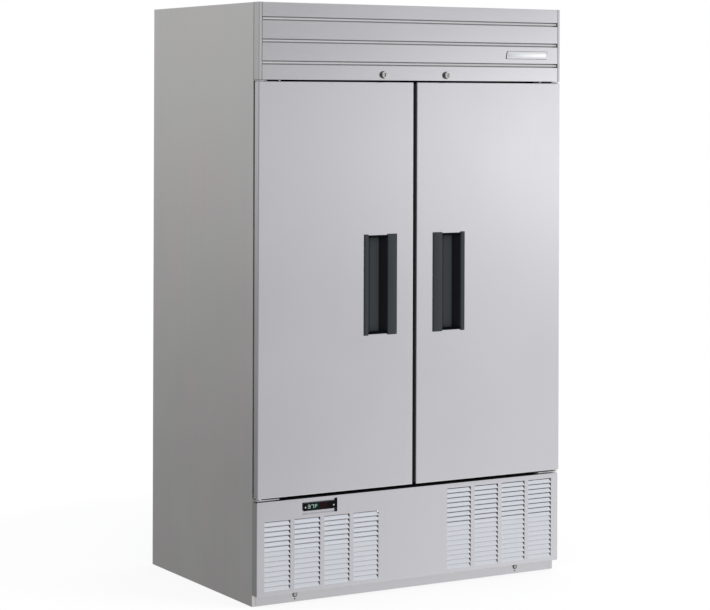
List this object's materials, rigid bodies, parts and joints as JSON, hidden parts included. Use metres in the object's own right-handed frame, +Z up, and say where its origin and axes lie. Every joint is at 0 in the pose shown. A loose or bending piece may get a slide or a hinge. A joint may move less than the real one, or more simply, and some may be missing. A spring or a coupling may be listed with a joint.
{
  "type": "reach in refrigerator",
  "caption": "Free-standing two-door stainless reach-in refrigerator with a grooved header, recessed pulls, louvred base front and hinged doors over wire shelves.",
  "frame": {"origin": "floor level, under the middle of the overall box", "axes": "+Z up, the doors face -Y, +X to the right when facing the doors"},
  "size_m": [1.206, 0.814, 1.988],
  "materials": {
    "stainless": "brushed stainless sheet, vertical grain on doors and sides, horizontal grain on the header",
    "inner_steel": "satin stainless liner",
    "galvanised": "galvanised steel",
    "foam": "rigid foam, hidden",
    "gasket_rubber": "moulded magnetic door gasket",
    "handle_plastic": "dark moulded plastic, fine texture",
    "display_plastic": "black gloss controller fascia",
    "black_paint": "black paint",
    "aluminium": "mill finish",
    "lock_metal": "nickel plated",
    "copper": "bare copper tube",
    "tube_plastic": "plastic drain tube",
    "shelf_wire": "white epoxy coated wire"
  },
  "bodies": {
    "cabinet": {"badge_plaque": "aluminium", "base_frame": "galvanised", "centre_mullion": "inner_steel", "centre_shelf_rack": "inner_steel", "compressor": "black_paint", "condensate_pan": "galvanised", "condenser_coil": "aluminium", "condenser_fan_motor": "black_paint", "condenser_fan_shroud": "black_paint", "drain_tube": "tube_plastic", "evaporator_coil": "aluminium", "evaporator_fan_motor": "black_paint", "evaporator_housing": "aluminium", "face_frame": "inner_steel", "header_left_trim": "stainless", "header_panel": "stainless", "header_right_trim": "stainless", "inner_liner": "inner_steel", "insulation": "foam", "left_bottom_hinge": "galvanised", "left_lock_barrel": "lock_metal", "left_lower_shelf": "shelf_wire", "left_middle_shelf": "shelf_wire", "left_shelf_rack": "inner_steel", "left_side_panel": "stainless", "left_top_hinge": "galvanised", "left_upper_shelf": "shelf_wire", "lower_panel": "stainless", "plinth": "stainless", "plinth_screw_left": "lock_metal", "plinth_screw_right": "lock_metal", "rear_grille": "galvanised", "rear_panel": "galvanised", "right_bottom_hinge": "galvanised", "right_lock_barrel": "lock_metal", "right_lower_shelf": "shelf_wire", "right_middle_shelf": "shelf_wire", "right_shelf_rack": "inner_steel", "right_side_panel": "stainless", "right_top_hinge": "galvanised", "right_upper_shelf": "shelf_wire", "suction_line": "copper", "thermostat_housing": "display_plastic", "thermostat_window": "display_plastic", "top_panel": "stainless", "unit_tray": "galvanised"},
    "left_door": {"left_door_skin": "stainless", "left_door_core": "inner_steel", "left_door_gasket": "gasket_rubber", "left_door_handle": "handle_plastic"},
    "right_door": {"right_door_skin": "stainless", "right_door_core": "inner_steel", "right_door_gasket": "gasket_rubber", "right_door_handle": "handle_plastic"},
    "left_lock": {"left_lock_plug": "lock_metal"},
    "right_lock": {"right_lock_plug": "lock_metal"},
    "condenser_fan": {"condenser_fan_blade": "aluminium"},
    "evaporator_fan": {"evaporator_fan_blade": "aluminium"},
    "button_left": {"thermostat_button_left": "lock_metal"},
    "button_right": {"thermostat_button_right": "lock_metal"}
  },
  "joints": [
    {"name": "left_door_hinge", "type": "hinge", "parent": "cabinet", "child": "left_door", "pos_m": [-0.591, -0.383, 1.0425], "axis": [0, 0, -1], "range_deg": [0, 120]},
    {"name": "right_door_hinge", "type": "hinge", "parent": "cabinet", "child": "right_door", "pos_m": [0.591, -0.383, 1.0425], "axis": [0, 0, 1], "range_deg": [0, 120]},
    {"name": "left_lock_turn", "type": "hinge", "parent": "cabinet", "child": "left_lock", "pos_m": [-0.126, -0.397, 1.752], "axis": [0, 1, 0], "range_deg": [0, 90]},
    {"name": "right_lock_turn", "type": "hinge", "parent": "cabinet", "child": "right_lock", "pos_m": [0.126, -0.397, 1.752], "axis": [0, -1, 0], "range_deg": [0, 90]},
    {"name": "condenser_fan_spin", "type": "hinge", "parent": "cabinet", "child": "condenser_fan", "pos_m": [-0.37, -0.25, 0.178], "axis": [0, 1, 0], "continuous": true},
    {"name": "evaporator_fan_spin", "type": "hinge", "parent": "cabinet", "child": "evaporator_fan", "pos_m": [0, -0.09, 1.712], "axis": [0, 0, 1], "continuous": true},
    {"name": "button_left_press", "type": "slide", "parent": "cabinet", "child": "button_left", "axis": [0, 1, 0], "range_m": [0, 0.001]},
    {"name": "button_right_press", "type": "slide", "parent": "cabinet", "child": "button_right", "axis": [0, 1, 0], "range_m": [0, 0.001]}
  ]
}
